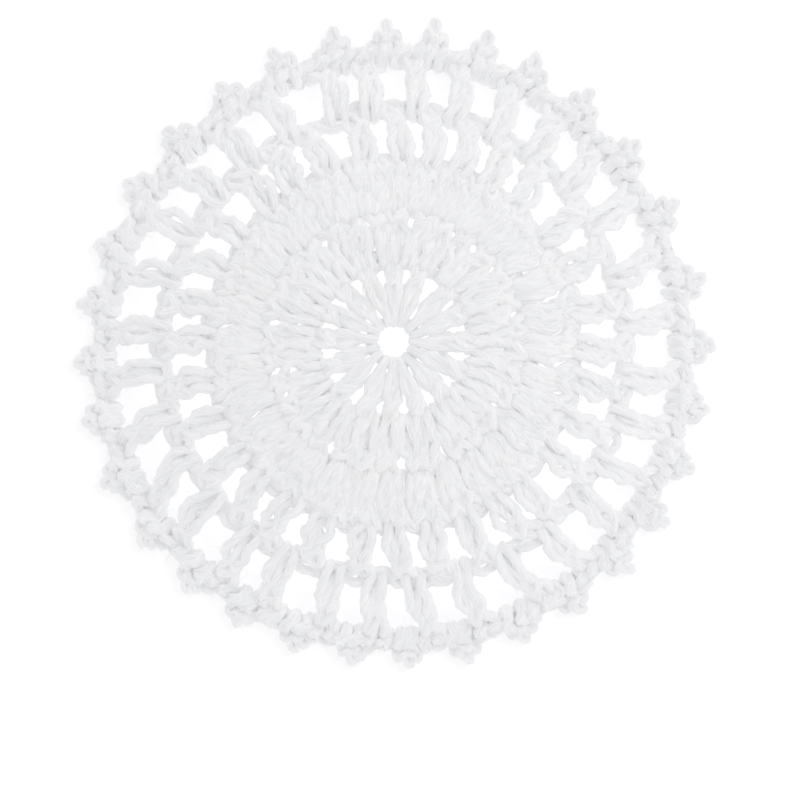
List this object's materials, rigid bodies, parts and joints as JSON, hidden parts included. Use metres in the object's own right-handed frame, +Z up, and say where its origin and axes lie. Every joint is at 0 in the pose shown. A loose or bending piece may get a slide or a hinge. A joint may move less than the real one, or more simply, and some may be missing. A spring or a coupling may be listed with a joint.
{
  "type": "crochet hair snood",
  "caption": "Round crocheted hair snood for a bun: a shallow open crown of solid and mesh rounds, gathered by an elastic in a picot edging.",
  "frame": {"origin": "middle of the underside, on the surface the snood lies on, below the hole at the crown's middle", "axes": "+Z up through the crown; +X to the right and +Y away in the picture"},
  "size_m": [0.1, 0.1, 0.0188],
  "materials": {
    "yarn": "soft white plied yarn, matt",
    "elastic": "thin white covered elastic"
  },
  "bodies": {
    "root": {"start_ring": "yarn", "fan_round": "yarn", "solid_round_inner": "yarn", "solid_round_outer": "yarn", "mesh_round_inner": "yarn", "mesh_round_outer": "yarn", "edging_band": "yarn", "elastic": "elastic", "picot_01": "yarn", "picot_02": "yarn", "picot_03": "yarn", "picot_04": "yarn", "picot_05": "yarn", "picot_06": "yarn", "picot_07": "yarn", "picot_08": "yarn", "picot_09": "yarn", "picot_10": "yarn", "picot_11": "yarn", "picot_12": "yarn", "picot_13": "yarn", "picot_14": "yarn", "picot_15": "yarn", "picot_16": "yarn", "picot_17": "yarn", "picot_18": "yarn", "picot_19": "yarn", "picot_20": "yarn", "picot_21": "yarn", "picot_22": "yarn", "picot_23": "yarn", "picot_24": "yarn", "picot_25": "yarn", "picot_26": "yarn", "picot_27": "yarn", "picot_28": "yarn", "picot_29": "yarn", "picot_30": "yarn", "picot_31": "yarn", "picot_32": "yarn"}
  },
  "joints": []
}
